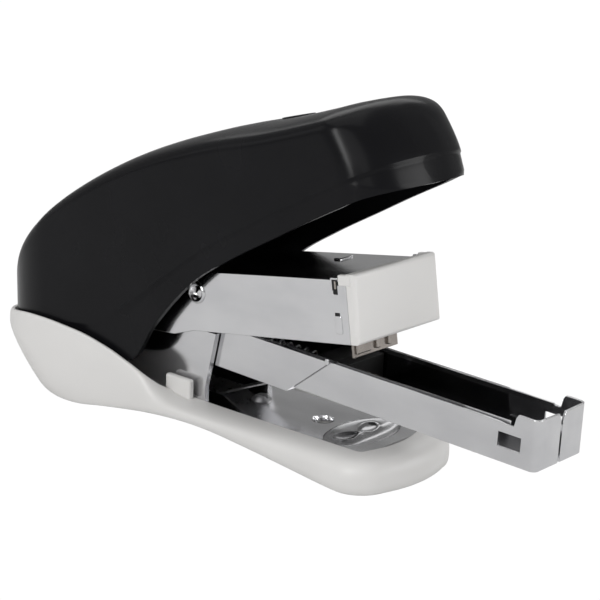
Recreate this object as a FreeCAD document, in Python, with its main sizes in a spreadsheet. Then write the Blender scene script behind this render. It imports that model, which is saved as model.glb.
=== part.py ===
import FreeCAD, Part
import os
from math import cos, pi, radians, sin

# A half-strip stapler with a raised handle, a driver arm and a magazine that slides out at the front.
# +X points to the nose, +Z up, and the origin lies on the table under the driver blade.

Vector = FreeCAD.Vector
doc = FreeCAD.newDocument("stapler")

DIMENSIONS = {
    # base
    "plate_top": 7.0, "plate_gauge": 1.3, "plate_width": 20.6, "plate_front": 5.7, "plate_rear": -90.0,
    "frame_gauge": 1.2, "frame_hole_radius": 2.3, "frame_hole_place": -12.9,
    "base_underside": 0.4, "base_crown": 7.4, "base_front": 12.9, "base_front_half": 15.8,
    "base_corner": 7.6, "base_bow": 1.5, "heel_half": 18.4, "heel_centre": -80.0, "heel_rear": -101.7,
    "heel_gap": 0.6, "heel_wall": 0.9, "cavity_front": -45.0, "foot_top": 1.4,
    "tab_start": -46.2, "tab_end": -38.9, "tab_top": 11.8, "tab_inner": 11.0, "tab_outer": 12.4,
    "anvil_centre": -2.6, "anvil_long": 10.0, "anvil_short": 5.6, "anvil_top": 6.4, "anvil_gauge": 1.5,
    # pins
    "handle_pin_place": -80.0, "handle_pin_height": 19.0, "arm_pin_place": -70.0,
    "arm_pin_height": 24.5, "holder_pin_place": -68.5, "holder_pin_height": 18.9,
    "pin_radius": 2.0, "small_pin_radius": 1.5, "running_gap": 0.06,
    # magazine, holder and pusher, in the magazine's own pitched frame
    "magazine_pitch": 1.96, "magazine_height": 14.88, "magazine_width": 15.6, "wall_height": 7.8,
    "magazine_sheet": 0.5, "magazine_rear": -18.0, "magazine_front": 43.8, "hump_length": 4.5,
    "hump_rise": 2.15, "rail_sheet": 0.38, "slide_gap": 0.3, "holder_sheet": 0.7,
    "holder_rear": -72.0, "holder_foot": -15.3, "holder_lip": -4.6, "rod_radius": 0.8,
    "rod_height": 3.9, "rod_front": -2.2, "rod_rear": -65.0, "pusher_front": -3.0,
    "pusher_length": 11.0, "spring_wire": 0.4, "spring_radius": 1.7, "spring_turns": 22.0,
    # driver arm, in its own pitched frame
    "arm_pitch": 8.77, "arm_height": 28.81, "arm_width": 25.3, "arm_wall": 12.5, "arm_sheet": 1.0,
    "arm_front": 4.2, "arm_tail_radius": 5.5, "cap_front": 6.4, "cap_height": 13.65, "cap_wall": 1.6,
    "blade_half": 6.7, "blade_gauge": 0.6, "blade_reach": 4.2, "roller_place": -36.9,
    "roller_height": 31.4, "eyelet_bore": 1.1, "eyelet_radius": 1.8, "eyelet_head": 2.45,
    # handle
    "handle_half": 16.4, "handle_wall": 1.6, "handle_rear": -100.8, "handle_tail": -99.6,
    "tail_height": 14.0, "nose_centre": 1.3, "nose_tip": 12.9, "tip_height": 60.4, "lever_inner": 12.9,
    "lever_outer": 14.2, "plug_place": -21.5, "plug_radius": 3.6, "plug_base": 66.6, "plug_height": 2.1,
}
sheet = doc.addObject("Spreadsheet::Sheet", "Dims")
for row, (alias, value) in enumerate(DIMENSIONS.items(), start=1):
    sheet.set("A%d" % row, alias)
    sheet.set("B%d" % row, str(value))
    sheet.setAlias("B%d" % row, alias)
doc.recompute()


def dim(alias):
    return float(sheet.get(alias))


# ---------------------------------------------------------------- helpers
def xz(x, z, y=0.0):
    return Vector(x, y, z)


def spline(points):
    curve = Part.BSplineCurve()
    curve.interpolate([Vector(*point) for point in points])
    return curve.toShape()


def chain(points):
    return [Part.makeLine(Vector(*a), Vector(*b)) for a, b in zip(points, points[1:])]


def face_of(edges):
    return Part.Face(Part.Wire(Part.sortEdges(edges)[0]))


def slab_xz(face, half_width):
    """A side-view face swept evenly to both sides of the middle plane."""
    face.translate(Vector(0, -half_width, 0))
    return face.extrude(Vector(0, 2 * half_width, 0))


def pitched(height_alias, pitch_alias, sign):
    turn = FreeCAD.Rotation(Vector(0, 1, 0), sign * dim(pitch_alias))
    return FreeCAD.Placement(Vector(0, 0, dim(height_alias)), turn)


def feature(label, shape, placement=None):
    """A sub-part whose shape comes from Part's own functions."""
    part = doc.addObject("Part::Feature", label)
    part.Label = label
    part.Shape = shape
    if placement is not None:
        part.Placement = placement.multiply(shape.Placement)
    return part


def body(label, placement=None):
    part = doc.addObject("PartDesign::Body", label)
    part.Label = label
    if placement is not None:
        part.Placement = placement
    return part


def sketch(part, role, outline=(), circles=(), lift=0.0):
    """A sketch on one of the body's own planes: one closed outline of points, and circles."""
    drawing = part.newObject("Sketcher::SketchObject", part.Label + "_sketch")
    plane = [item for item in part.Origin.OriginFeatures if item.Role == role][0]
    drawing.AttachmentSupport = (plane, "")
    drawing.MapMode = "FlatFace"
    drawing.AttachmentOffset = FreeCAD.Placement(Vector(0, 0, lift), FreeCAD.Rotation())
    corners = [Vector(across, up, 0) for across, up in outline]
    for start, end in zip(corners, corners[1:] + corners[:1]):
        drawing.addGeometry(Part.LineSegment(start, end))
    for across, up, radius in circles:
        drawing.addGeometry(Part.Circle(Vector(across, up, 0), Vector(0, 0, 1), radius))
    return drawing


def grow(part, kind, drawing, length, symmetric=True, reverse=False):
    """A Pad or Pocket whose length is an expression on the sheet."""
    step = part.newObject("PartDesign::" + kind, part.Label + "_" + kind.lower())
    step.Profile = drawing
    step.SideType = "Symmetric" if symmetric else "One side"
    step.Reversed = reverse
    step.setExpression("Length", length)
    doc.recompute()
    return step


def pin(label, place, height, radius, length):
    """A round pin along Y, built as a sketched circle padded to both sides."""
    part = body(label)
    grow(part, "Pad", sketch(part, "XZ_Plane", circles=[(dim(place), dim(height), dim(radius))]), length)
    return part


def rod_y(x, z, radius, half_length):
    return Part.makeCylinder(radius, 2 * half_length, Vector(x, -half_length, z), Vector(0, 1, 0))


def block(x0, x1, half, z0, z1):
    return Part.makeBox(x1 - x0, 2 * half, z1 - z0, Vector(x0, -half, z0))


def both_sides(shape):
    return [shape, shape.mirror(Vector(0, 0, 0), Vector(0, 1, 0))]


# ---------------------------------------------------------------- base
def base_side_face():
    """The base seen from the side: low front deck, swept-up heel rim, undercut tail, arched belly."""
    floor, crown, front, rear = dim("base_underside"), dim("base_crown"), dim("base_front"), dim("heel_rear")
    rim = [(-38, crown), (-43.5, 8.4), (-47.6, 11.4), (-50, 12.8), (-57.3, 15.3), (-66, 17.1), (-79, 17.9),
           (-91, 16.6), (rear + 0.6, 14.3)]
    arch = [(-70, floor), (-61, 2.0), (-50, 3.6), (-36, 4.4), (-20, 3.2), (0, floor)]
    edges = chain([xz(0, floor), xz(front - 0.5, floor), xz(front, floor + 1.8), xz(front - 1, crown),
                   xz(-38, crown)])
    edges.append(spline([xz(x, z) for x, z in rim]))
    edges += chain([xz(rear + 0.6, 14.3), xz(rear, 13.4), xz(rear + 0.4, 12.2), xz(rear + 13.6, floor),
                    xz(-70, floor)])
    edges.append(spline([xz(x, z) for x, z in arch]))
    return face_of(edges)


def base_plan_face():
    """The base seen from above: bowed nose with round corners, swelling sides, round heel."""
    front, half, corner = dim("base_front"), dim("base_front_half"), dim("base_corner")
    centre, rear, heel, bow = dim("heel_centre"), dim("heel_rear"), dim("heel_half"), dim("base_bow")
    corner_x, corner_y = front - bow, half - corner
    nose = Part.Arc(Vector(corner_x, -corner_y, 0), Vector(front, 0, 0), Vector(corner_x, corner_y, 0))
    edges = [nose.toShape()]
    slant = corner * (1 - cos(pi / 4))
    for side in (1, -1):
        corner_arc = Part.Arc(Vector(corner_x, side * corner_y, 0),
                              Vector(corner_x - slant, side * (half - slant), 0),
                              Vector(corner_x - corner, side * half, 0))
        edges.append(corner_arc.toShape())
        edges.append(spline([(corner_x - corner, side * half, 0), (-30, side * 16.8, 0),
                             (-52, side * 18.0, 0), (centre, side * heel, 0)]))
    oval = Part.Ellipse(Vector(0, 0, 0), centre - rear, heel)
    oval.translate(Vector(centre, 0, 0))
    edges.append(oval.toShape(pi / 2, 3 * pi / 2))
    return face_of(edges)


def heel_cavity():
    """The hollow of the heel in which the handle's skirt swings, clear of the frame's seat."""
    gap, wall, centre = dim("heel_gap"), dim("heel_wall"), dim("heel_centre")
    half, rear, front = dim("heel_half") - wall, dim("heel_rear") + wall, dim("cavity_front")
    oval = Part.Ellipse(Vector(0, 0, 0), centre - rear, half)
    oval.translate(Vector(centre, 0, 0))
    edges = [oval.toShape(pi / 2, 3 * pi / 2)]
    front_half = half - gap / 2
    edges += chain([(centre, half, 0), (front, front_half, 0), (front, -front_half, 0), (centre, -half, 0)])
    plan = face_of(edges).extrude(Vector(0, 0, 40))
    side = Part.Face(Part.makePolygon([xz(front + 1, 40), xz(front + 1, 5.0), xz(-58, 4.0), xz(-74, 2.4),
                                       xz(-86, 2.4), xz(rear, 13.6), xz(rear - 5, 40), xz(front + 1, 40)]))
    seat_half = dim("plate_width") / 2
    seat = block(dim("plate_rear") - 2, front + 1, seat_half, 0, dim("plate_top") - dim("plate_gauge"))
    return plan.common(slab_xz(side, 40)).cut(seat)


def base_cover():
    shell = slab_xz(base_side_face(), 40).common(base_plan_face().extrude(Vector(0, 0, 40)))
    deck = dim("plate_top") - dim("plate_gauge")
    tray = block(dim("cavity_front") - 4, dim("plate_front") + 0.3, dim("plate_width") / 2 + 0.2, deck, 40)
    anvil = Part.makeCylinder(1, 10, Vector(0, 0, deck - dim("anvil_gauge") + 0.2))
    stretch = FreeCAD.Matrix()
    stretch.scale(dim("anvil_short") + 0.4, dim("anvil_long") + 0.2, 1)
    anvil = anvil.transformGeometry(stretch)
    anvil.translate(Vector(dim("anvil_centre"), 0, 0))
    shell = shell.cut(heel_cavity()).cut(tray).cut(anvil)
    for foot in foot_blocks():
        shell = shell.cut(foot)
    for x in screw_places():
        shell = shell.cut(Part.makeCylinder(1.1, 20, Vector(x, 0, -5)))
    tab = Part.makeBox(dim("tab_end") - dim("tab_start"), dim("tab_outer") - dim("tab_inner"),
                       dim("tab_top") - 4.0, Vector(dim("tab_start"), dim("tab_inner"), 4.0))
    uprights = [edge for edge in tab.Edges if edge.BoundBox.YLength > 1 and edge.BoundBox.ZMin > 7]
    tab = tab.makeFillet(1.3, uprights)
    for one in both_sides(tab):
        shell = shell.fuse(one)
    return feature("base_cover", shell.removeSplitter())


def foot_blocks():
    top = dim("foot_top")
    return [block(-4, 8, 10, 0, top), block(-73.5, -67, 12, 0, top)]


def screw_places():
    return [-30.0, -54.0]


def rubber_feet():
    feet = []
    for foot in foot_blocks():
        feet.append(foot.makeFillet(1.2, [edge for edge in foot.Edges if edge.BoundBox.ZLength > 1]))
    return feature("rubber_feet", Part.makeCompound(feet))


def base_frame():
    """A pressed channel: the chromed deck plate with two uprights that carry the three pins."""
    part = body("base_frame")
    top, gauge, rear = dim("plate_top"), dim("plate_gauge"), dim("plate_rear")
    bottom = top - gauge
    profile = [(dim("plate_front"), bottom), (dim("plate_front"), top), (-36.6, top), (-36.6, top + 3.3),
               (-33.7, 22.6), (-60, 22.6), (-64.5, 28.8), (-75.5, 28.8), (-82, 25), (-86, 21),
               (-86, 14), (rear, 11), (rear, bottom)]
    grow(part, "Pad", sketch(part, "XZ_Plane", profile), "Dims.plate_width")
    inside = [(dim("plate_front") + 5, top), (dim("plate_front") + 5, 40), (rear - 5, 40), (rear - 5, top)]
    grow(part, "Pocket", sketch(part, "XZ_Plane", inside), "Dims.plate_width - 2 * Dims.frame_gauge")
    pins = [(dim("handle_pin_place"), dim("handle_pin_height"), dim("pin_radius")),
            (dim("arm_pin_place"), dim("arm_pin_height"), dim("pin_radius")),
            (dim("holder_pin_place"), dim("holder_pin_height"), dim("small_pin_radius"))]
    grow(part, "Pocket", sketch(part, "XZ_Plane", circles=pins), "Dims.plate_width + 2")
    holes = [(dim("frame_hole_place"), 0, dim("frame_hole_radius"))] + [(x, 0, 1.1) for x in screw_places()]
    grow(part, "Pocket", sketch(part, "XY_Plane", circles=holes, lift=top), "3 * Dims.plate_gauge")
    oval = []
    for n in range(32):
        turn = 2 * pi * n / 32
        oval.append((dim("anvil_centre") + (dim("anvil_short") + 0.15) * cos(turn),
                     (dim("anvil_long") + 0.1) * sin(turn)))
    grow(part, "Pocket", sketch(part, "XY_Plane", oval, lift=top), "3 * Dims.plate_gauge")
    return part


def anvil():
    """An oval clinching plate let into the deck, with two shallow grooves that fold the legs."""
    part = body("anvil")
    outline = []
    for n in range(40):
        turn = 2 * pi * n / 40
        outline.append((dim("anvil_centre") + dim("anvil_short") * cos(turn), dim("anvil_long") * sin(turn)))
    grow(part, "Pad", sketch(part, "XY_Plane", outline, lift=dim("anvil_top")), "Dims.anvil_gauge",
         symmetric=False, reverse=True)
    for side in (1, -1):
        groove = [(-1.1, side * 1.2), (-1.1, side * 6.4), (1.1, side * 6.4), (1.1, side * 1.2)]
        grow(part, "Pocket", sketch(part, "XY_Plane", groove, lift=dim("anvil_top")), "0.6 mm",
             symmetric=False)
    return part


def frame_screws():
    """Two button-headed screws that hold the frame down into the base."""
    screws = []
    for x in screw_places():
        shank = Part.makeCylinder(1.05, 6.2, Vector(x, 0, dim("plate_top") - 6.2 + 0.01))
        head = Part.makeCone(2.2, 1.4, 0.9, Vector(x, 0, dim("plate_top")))
        slot = Part.makeBox(3.4, 0.5, 0.5, Vector(x - 1.7, -0.25, dim("plate_top") + 0.5))
        screws.append(shank.fuse(head).cut(slot).removeSplitter())
    return feature("frame_screws", Part.makeCompound(screws))


def holder_spring():
    """A bent leaf that lifts the magazine holder off the deck; its foot lies on the deck."""
    part = body("holder_spring")
    top = dim("plate_top")
    strip = [(-50, top), (-38, top), (-25, 12.4), (-21, 12.2), (-21, 12.6), (-25, 12.8), (-38.2, top + 0.4),
             (-50, top + 0.4)]
    grow(part, "Pad", sketch(part, "XZ_Plane", strip), "Dims.blade_half")
    return part


# ---------------------------------------------------------------- holder, magazine and pusher
def in_magazine_frame(x, z):
    """A point of the row's side view, given in the magazine's pitched frame."""
    placement = pitched("magazine_height", "magazine_pitch", 1).inverse()
    local = placement.multVec(Vector(x, 0, z))
    return local.x, local.z


def magazine_holder():
    part = body("magazine_holder", pitched("magazine_height", "magazine_pitch", 1))
    gap, sheet_metal = dim("slide_gap"), dim("holder_sheet")
    floor = -0.1
    top = dim("wall_height") + 0.3
    rear, foot, lip = dim("holder_rear"), dim("holder_foot"), dim("holder_lip")
    inner = dim("magazine_width") / 2 + gap
    profile = [(rear, floor - sheet_metal), (foot, floor - sheet_metal), (lip, top), (rear + 10, top),
               (rear + 6, 4.4), (rear, 4.4)]
    grow(part, "Pad", sketch(part, "XZ_Plane", profile),
         "Dims.magazine_width + 2 * (Dims.slide_gap + Dims.holder_sheet)")
    inside = [(rear - 5, floor), (20, floor), (20, top + 5), (rear - 5, top + 5)]
    grow(part, "Pocket", sketch(part, "XZ_Plane", inside), "Dims.magazine_width + 2 * Dims.slide_gap")
    pin_x, pin_z = in_magazine_frame(dim("holder_pin_place"), dim("holder_pin_height"))
    bore = dim("small_pin_radius") + dim("running_gap")
    grow(part, "Pocket", sketch(part, "XZ_Plane", circles=[(pin_x, pin_z, bore)]),
         "Dims.magazine_width + 10")
    wall = [(dim("rod_rear"), floor), (dim("rod_rear"), 7), (dim("rod_rear") + 1, 7),
            (dim("rod_rear") + 1, floor)]
    grow(part, "Pad", sketch(part, "XZ_Plane", wall), "Dims.magazine_width + 2 * Dims.slide_gap")
    rod_hole = sketch(part, "YZ_Plane", circles=[(0, dim("rod_height"), dim("rod_radius"))],
                      lift=dim("rod_rear") + 3)
    grow(part, "Pocket", rod_hole, "4 * Dims.rod_radius + 2", symmetric=False)
    return part


def guide_rod():
    part = body("guide_rod", pitched("magazine_height", "magazine_pitch", 1))
    circle = sketch(part, "YZ_Plane", circles=[(0, dim("rod_height"), dim("rod_radius"))],
                    lift=dim("rod_rear"))
    grow(part, "Pad", circle, "Dims.rod_front - Dims.rod_rear", symmetric=False)
    return part


def magazine_channel():
    """The bright outer channel: humped front corners, two inward flaps and a window each side."""
    part = body("magazine_channel", pitched("magazine_height", "magazine_pitch", 1))
    rear, front, high = dim("magazine_rear"), dim("magazine_front"), dim("wall_height")
    hump, rise, metal = dim("hump_length"), dim("hump_rise"), dim("magazine_sheet")
    profile = [(rear, 0), (front - 1.5, 0), (front, 1.5), (front, high + rise - 0.6),
               (front - 0.6, high + rise), (front - hump, high + rise), (front - hump - 0.9, high - 0.3),
               (front - hump - 2.6, high), (rear, high)]
    grow(part, "Pad", sketch(part, "XZ_Plane", profile), "Dims.magazine_width")
    inside = [(rear - 5, metal), (front - metal, metal), (front - metal, 20), (rear - 5, 20)]
    grow(part, "Pocket", sketch(part, "XZ_Plane", inside), "Dims.magazine_width - 2 * Dims.magazine_sheet")
    slit = [(-0.3, -1), (0.3, -1), (0.3, high - 0.9), (1.2, high + 0.3), (1.2, 20), (-1.2, 20),
            (-1.2, high + 0.3), (-0.3, high - 0.9)]
    grow(part, "Pocket", sketch(part, "YZ_Plane", slit, lift=front + 1), "2 * Dims.hump_rise",
         symmetric=False)
    window = [(front - 8.5, 2.9), (front - 3.5, 2.9), (front - 3.5, 5.7), (front - 8.5, 5.7)]
    grow(part, "Pocket", sketch(part, "XZ_Plane", window), "2 * Dims.magazine_width")
    return part


def staple_rail():
    """The thin inner channel on which the staples run."""
    part = body("staple_rail", pitched("magazine_height", "magazine_pitch", 1))
    metal, liner = dim("magazine_sheet"), dim("rail_sheet")
    low, high = metal, dim("wall_height") + 0.3
    rear, front = dim("magazine_rear") + 0.5, dim("magazine_front") - 1.6
    step = front - 8
    profile = [(rear, low), (front, low), (front, 2.2), (front - 5.4, 2.6), (step - 6.4, 2.8),
               (step - 7.2, high), (rear, high)]
    grow(part, "Pad", sketch(part, "XZ_Plane", profile), "Dims.magazine_width - 2 * Dims.magazine_sheet")
    inside = [(rear - 5, low + liner), (front + 5, low + liner), (front + 5, 20), (rear - 5, 20)]
    grow(part, "Pocket", sketch(part, "XZ_Plane", inside),
         "Dims.magazine_width - 2 * (Dims.magazine_sheet + Dims.rail_sheet)")
    return part


def pusher():
    """A moulded follower that rides the guide rod and presses the staples forward."""
    part = body("pusher", pitched("magazine_height", "magazine_pitch", 1))
    front, back = dim("pusher_front"), dim("pusher_front") - dim("pusher_length")
    profile = [(back, 1.5), (front, 1.5), (front, 7.2), (front - 3, 7.2), (back, 5.6)]
    grow(part, "Pad", sketch(part, "XZ_Plane", profile), "2 * Dims.blade_half - 0.4")
    bore = sketch(part, "YZ_Plane", circles=[(0, dim("rod_height"), dim("rod_radius") + dim("running_gap"))],
                  lift=front + 1)
    grow(part, "Pocket", bore, "Dims.pusher_length + 4", symmetric=False)
    return part


def pusher_spring():
    """A compression spring on the guide rod, from the holder's rear wall to the pusher."""
    start, end = dim("rod_rear") + 1.3, dim("pusher_front") - dim("pusher_length") - 0.3
    length, radius, wire = end - start, dim("spring_radius") - dim("spring_wire") / 2, dim("spring_wire")
    helix = Part.makeHelix(length / dim("spring_turns"), length, radius)
    section = Part.Wire(Part.makeCircle(wire / 2, Vector(radius, 0, 0), Vector(0, 1, 0)))
    coil = Part.Wire(helix.Edges).makePipeShell([section], True, True)
    coil.rotate(Vector(0, 0, 0), Vector(0, 1, 0), 90)
    coil.translate(Vector(start, 0, dim("rod_height")))
    return feature("pusher_spring", coil, pitched("magazine_height", "magazine_pitch", 1))


# ---------------------------------------------------------------- driver arm
def in_arm_frame(x, z):
    """A point of the row's side view, given in the driver arm's pitched frame."""
    local = pitched("arm_height", "arm_pitch", -1).inverse().multVec(Vector(x, 0, z))
    return local.x, local.z


def driver_arm():
    """A folded chrome channel, open below, that carries the blade and the white nose cap."""
    part = body("driver_arm", pitched("arm_height", "arm_pitch", -1))
    wall, metal, front = dim("arm_wall"), dim("arm_sheet"), dim("arm_front")
    pin_x, pin_z = in_arm_frame(dim("arm_pin_place"), dim("arm_pin_height"))
    tail = dim("arm_tail_radius")
    profile = [(front, 0), (front, wall), (pin_x + 8, wall)]
    for n in range(13):
        turn = pi / 2 + pi * n / 12
        profile.append((pin_x + tail * cos(turn), pin_z + tail * sin(turn)))
    profile += [(-44, -1.1), (-38, 0)]
    grow(part, "Pad", sketch(part, "XZ_Plane", profile), "Dims.arm_width")
    inside = [(front + 5, -10), (front + 5, wall - metal), (pin_x - 20, wall - metal), (pin_x - 20, -10)]
    grow(part, "Pocket", sketch(part, "XZ_Plane", inside), "Dims.arm_width - 2 * Dims.arm_sheet")
    roller_x, roller_z = in_arm_frame(dim("roller_place"), dim("roller_height"))
    bores = [(pin_x, pin_z, dim("pin_radius") + dim("running_gap")),
             (roller_x, roller_z, dim("eyelet_radius"))]
    grow(part, "Pocket", sketch(part, "XZ_Plane", circles=bores), "2 * Dims.arm_width")
    rear_open = [(pin_x - 20, wall - 6), (pin_x + 9, wall - 6), (pin_x + 9, wall + 5), (pin_x - 20, wall + 5)]
    grow(part, "Pocket", sketch(part, "XZ_Plane", rear_open), "Dims.arm_width - 2 * Dims.arm_sheet")
    slot = [(front - 3.1, wall - 2.8), (front - 1.0, wall - 2.8), (front - 1.0, wall - 0.3),
            (front - 3.1, wall - 0.3)]
    grow(part, "Pocket", sketch(part, "XZ_Plane", slot), "2 * Dims.arm_width")
    return part


def nose_cap():
    """The white moulded cap on the arm's nose, hollow behind, with a hook in each wall slot."""
    width, high, wall = dim("arm_width"), dim("cap_height"), dim("cap_wall")
    rear, front = dim("arm_front"), dim("cap_front")
    cap = block(rear, front, width / 2, 0, high)
    soft = [edge for edge in cap.Edges if edge.BoundBox.XMin > front - 0.1]
    cap = cap.makeFillet(0.8, soft)
    cap = cap.cut(block(rear - 1, front - wall, width / 2 - wall, -1, high - wall))
    hook_inner = width / 2 - dim("arm_sheet")
    for side in (1, -1):
        arm_z = dim("arm_wall") - dim("arm_sheet") - 2.2
        hook = Part.makeBox(4.0, 0.9, 2.1,
                            Vector(rear - 3.0, hook_inner - 1.0 if side > 0 else 0.1 - hook_inner, arm_z))
        cap = cap.fuse(hook)
    return feature("nose_cap", cap.removeSplitter(), pitched("arm_height", "arm_pitch", -1))


def driver_blade():
    """The hardened blade that drives one staple, with a stiffening rib down its front."""
    part = body("driver_blade", pitched("arm_height", "arm_pitch", -1))
    gauge, reach = dim("blade_gauge"), dim("blade_reach")
    top = dim("arm_wall") - dim("arm_sheet")
    middle = -0.6
    plate = [(middle - gauge / 2, -reach), (middle + gauge / 2, -reach), (middle + gauge / 2, top),
             (middle - gauge / 2, top)]
    grow(part, "Pad", sketch(part, "XZ_Plane", plate), "2 * Dims.blade_half")
    rib = [(middle + gauge / 2, -0.4), (middle + gauge / 2 + 0.7, 0.4), (middle + gauge / 2 + 0.7, top - 1),
           (middle + gauge / 2, top)]
    grow(part, "Pad", sketch(part, "XZ_Plane", rib), "3 * Dims.blade_gauge")
    return part


def driver_leaf():
    """A leaf spring under the arm's roof that backs the blade."""
    part = body("driver_leaf", pitched("arm_height", "arm_pitch", -1))
    roof = dim("arm_wall") - dim("arm_sheet")
    strip = [(-30, roof - 0.5), (-14, roof - 0.5), (-3, roof - 3.2), (-1.1, roof - 3.2), (-1.1, roof - 2.7),
             (-3, roof - 2.7), (-13.7, roof), (-30, roof)]
    grow(part, "Pad", sketch(part, "XZ_Plane", strip), "Dims.blade_half + 3")
    return part


def roller_eyelet():
    """A hollow rivet through both arm walls with rolled heads, the axle of the press roller."""
    x, z = dim("roller_place"), dim("roller_height")
    half = dim("arm_width") / 2
    tube = rod_y(x, z, dim("eyelet_radius"), half + 0.45)
    for side in (1, -1):
        start = half if side > 0 else -half - 0.45
        tube = tube.fuse(Part.makeCylinder(dim("eyelet_head"), 0.45, Vector(x, start, z), Vector(0, 1, 0)))
    tube = tube.cut(rod_y(x, z, dim("eyelet_bore"), half + 2))
    return feature("roller_eyelet", tube.removeSplitter())


def press_roller():
    """The plain roller between the arm's walls on which the handle's rib bears."""
    x, z = dim("roller_place"), dim("roller_height")
    half = dim("arm_width") / 2 - dim("arm_sheet") - 0.3
    tube = rod_y(x, z, 3.0, half).cut(rod_y(x, z, dim("eyelet_radius"), half + 1))
    return feature("press_roller", tube)


# ---------------------------------------------------------------- handle
CROWN = [(-100.5, 15.5), (-98.4, 21.5), (-94.6, 28.4), (-89.6, 34.8), (-82.6, 41.4), (-71, 49.2),
         (-54, 57.8), (-34, 64.9), (-18, 69.1), (-7, 72.5), (-1, 74.4), (3.6, 75.2)]
NOSE = [(3.6, 75.2), (6.7, 73.2), (11.5, 65.6)]
RIM = [(8, 58.6), (3, 56.2), (-5, 52.0), (-12.7, 47.7), (-24, 40.8), (-34.4, 34.0), (-45.9, 22.6),
       (-51.8, 14.6), (-58, 12.6), (-90, 12.2), (-95.5, 13.2)]


def handle_side_face(inset, skirt):
    """The handle seen from the side; inset shrinks it inward and skirt drops its open rim."""
    curve = spline([xz(x, z) for x, z in CROWN]).Curve
    crown = []
    steps = 22
    for n in range(steps + 1):
        at = curve.FirstParameter + (curve.LastParameter - curve.FirstParameter) * n / steps
        point, along = curve.value(at), curve.tangent(at)[0]
        crown.append(point + Vector(along.z, 0, -along.x) * inset)
    tail = xz(dim("handle_tail") + inset, dim("tail_height") - skirt)
    tip = xz(dim("nose_tip") - inset, dim("tip_height") - skirt)
    nose = [crown[-1]] + [xz(x - inset, z - inset * 0.4) for x, z in NOSE[1:]] + [tip]
    rim = [tip] + [xz(x, z - skirt) for x, z in RIM] + [tail, crown[0]]
    return face_of([spline(crown)] + chain(nose) + chain(rim))


def handle_plan_face(inset):
    half, nose = dim("handle_half") - inset, dim("nose_centre")
    rear_centre, rear, tip = dim("heel_centre"), dim("handle_rear") + inset, dim("nose_tip") - inset
    back = Part.Ellipse(Vector(0, 0, 0), rear_centre - rear, half)
    back.translate(Vector(rear_centre, 0, 0))
    front = Part.Ellipse(Vector(nose, half, 0), Vector(tip + 0.3, 0, 0), Vector(nose, 0, 0))
    edges = [back.toShape(pi / 2, 3 * pi / 2), front.toShape(0, pi)]
    for side in (1, -1):
        edges += chain([(rear_centre, side * half, 0), (nose, side * half, 0)])
    return face_of(edges)


def handle_cover():
    """The black moulded shell: a crowned hood, open below, whose rear skirt sits inside the heel."""
    wall = dim("handle_wall")
    outside = slab_xz(handle_side_face(0, 0), 40).common(handle_plan_face(0).extrude(Vector(0, 0, 100)))
    inside = slab_xz(handle_side_face(wall, 20), 40).common(handle_plan_face(wall).extrude(Vector(0, 0, 100)))
    shell = outside.cut(inside)
    recess = Part.makeCylinder(dim("plug_radius"), 10, Vector(dim("plug_place"), 0, dim("plug_base")))
    return feature("handle_cover", shell.cut(recess))


def handle_plug():
    """A round cover button over the screw that joins the handle's two mouldings."""
    part = body("handle_plug")
    circle = sketch(part, "XY_Plane", circles=[(dim("plug_place"), 0, dim("plug_radius") - 0.1)],
                    lift=dim("plug_base"))
    grow(part, "Pad", circle, "Dims.plug_height", symmetric=False)
    return part


def handle_lever():
    """The inner moulding: two ears on the rear pin, a spine under the roof and the press rib."""
    inner, outer = dim("lever_inner"), dim("lever_outer")
    ear = Part.Face(Part.makePolygon([xz(-84, 14.5), xz(-75, 14.5), xz(-58, 40), xz(-58, 51), xz(-70, 44.5),
                                      xz(-80, 37), xz(-84, 32), xz(-84, 14.5)]))
    ears = ear.extrude(Vector(0, outer - inner, 0))
    ears.translate(Vector(0, inner, 0))
    bore = dim("pin_radius") + dim("running_gap")
    hole = rod_y(dim("handle_pin_place"), dim("handle_pin_height"), bore, 20)
    pieces = [one.cut(hole) for one in both_sides(ears)]
    bridge = Part.Face(Part.makePolygon([xz(-68, 42), xz(-58, 45), xz(-58, 51.4), xz(-68, 46), xz(-68, 42)]))
    spine = Part.Face(Part.makePolygon([xz(-60, 49), xz(-44, 56), xz(-44, 47.9), xz(-39, 47.9), xz(-39, 58.5),
                                        xz(-16, 64.4), xz(-16, 66.5), xz(-40, 60.4), xz(-60, 52.4),
                                        xz(-60, 49)]))
    lever = pieces[0].fuse([pieces[1], slab_xz(bridge, outer), slab_xz(spine, 5)])
    return feature("handle_lever", lever.removeSplitter())


def handle_spring():
    """A torsion spring round the handle pin: coils beside the frame and one leg up to the roof."""
    x, z = dim("handle_pin_place"), dim("handle_pin_height")
    coil = rod_y(x, z, 3.4, 0.8).cut(rod_y(x, z, dim("pin_radius") + 0.3, 2))
    leg = Part.makeCylinder(0.5, 24, Vector(x, 0, z + 3.0), Vector(sin(radians(20)), 0, cos(radians(20))))
    return feature("handle_spring", coil.fuse(leg).removeSplitter())


# ---------------------------------------------------------------- build and write
PARTS = [base_cover(), base_frame(), anvil(), frame_screws(), rubber_feet(), holder_spring(),
         pin("handle_pin", "handle_pin_place", "handle_pin_height", "pin_radius", "2 * Dims.lever_outer"),
         pin("arm_pin", "arm_pin_place", "arm_pin_height", "pin_radius", "Dims.arm_width - 0.1"),
         pin("holder_pin", "holder_pin_place", "holder_pin_height", "small_pin_radius", "Dims.plate_width"),
         magazine_holder(), guide_rod(), magazine_channel(), staple_rail(), pusher(), pusher_spring(),
         driver_arm(), nose_cap(), driver_blade(), driver_leaf(), roller_eyelet(), press_roller(),
         handle_cover(), handle_plug(), handle_lever(), handle_spring()]
doc.recompute()

for item in doc.Objects:
    if "Invalid" in item.State or "Error" in item.State:
        raise RuntimeError("failed feature: " + item.Label)
for part in PARTS:
    if part.Shape.isNull() or not part.Shape.isValid():
        raise RuntimeError("bad shape: " + part.Label)

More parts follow.
